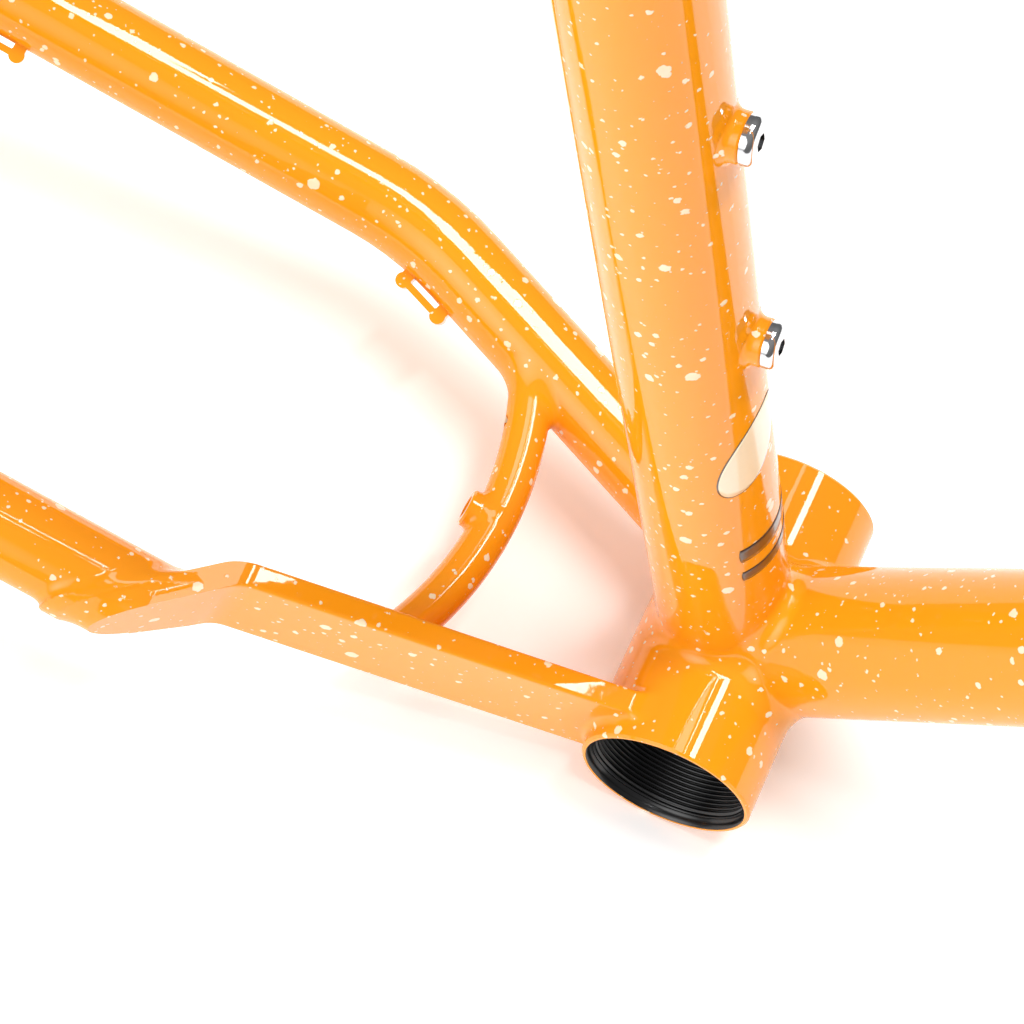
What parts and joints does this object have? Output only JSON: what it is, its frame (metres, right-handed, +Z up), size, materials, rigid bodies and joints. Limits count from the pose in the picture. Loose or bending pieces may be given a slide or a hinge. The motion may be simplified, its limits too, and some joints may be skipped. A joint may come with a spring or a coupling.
{
  "type": "bicycle frame",
  "caption": "Bare welded steel bicycle frame with a plate yoke on the drive-side chainstay, a threaded bottom bracket, disc dropouts, a thru-axle and a quick-release seat collar.",
  "frame": {"origin": "centre of the bottom-bracket shell", "axes": "+X forward towards the head tube, +Y to the rider's left (the non-drive side) along the shell, +Z up"},
  "size_m": [0.9715, 0.1776, 0.6263],
  "materials": {
    "frame_paint": "glossy orange clear-coated paint with small cream speckles",
    "polished_bolt": "polished",
    "screw_steel": "satin",
    "anodised_black": "satin black anodised",
    "anodised_silver": "satin",
    "bearing_brass": "satin"
  },
  "bodies": {
    "frame": {"bottom_bracket_shell": "frame_paint", "seat_tube": "frame_paint", "seat_sleeve": "frame_paint", "down_tube": "frame_paint", "top_tube": "frame_paint", "head_tube": "frame_paint", "upper_head_ring": "frame_paint", "lower_head_ring": "frame_paint", "yoke_plate": "frame_paint", "left_chainstay": "frame_paint", "right_chainstay": "frame_paint", "chainstay_bridge": "frame_paint", "chainstay_bridge_boss": "frame_paint", "chainstay_hose_guides": "frame_paint", "down_tube_hose_guides": "frame_paint", "left_seatstay": "frame_paint", "right_seatstay": "frame_paint", "seatstay_bridge": "frame_paint", "seatstay_bridge_boss": "frame_paint", "left_dropout": "frame_paint", "right_dropout": "frame_paint", "derailleur_hanger": "anodised_black", "hanger_screws": "screw_steel", "seat_tube_bosses": "frame_paint", "down_tube_bosses": "frame_paint", "bottle_bolts": "polished_bolt", "seat_collar": "anodised_black", "collar_rod": "screw_steel", "collar_nut": "anodised_black", "cam_saddle": "bearing_brass"},
    "axle_carrier": {"axle_washer": "anodised_black"},
    "axle": {"thru_axle": "anodised_black"},
    "lever": {"collar_lever": "anodised_silver", "lever_pin": "screw_steel"}
  },
  "joints": [
    {"name": "axle_pull", "type": "slide", "parent": "frame", "child": "axle_carrier", "axis": [0, 1, 0], "range_m": [0, 0.175]},
    {"name": "axle_turn", "type": "hinge", "parent": "axle_carrier", "child": "axle", "pos_m": [-0.43517, 0, 0.065], "axis": [0, 1, 0], "continuous": true},
    {"name": "lever_swing", "type": "hinge", "parent": "frame", "child": "lever", "pos_m": [-0.17146, 0.0193, 0.46234], "axis": [-0.3007, 0, 0.9537], "range_deg": [0, 170]}
  ]
}
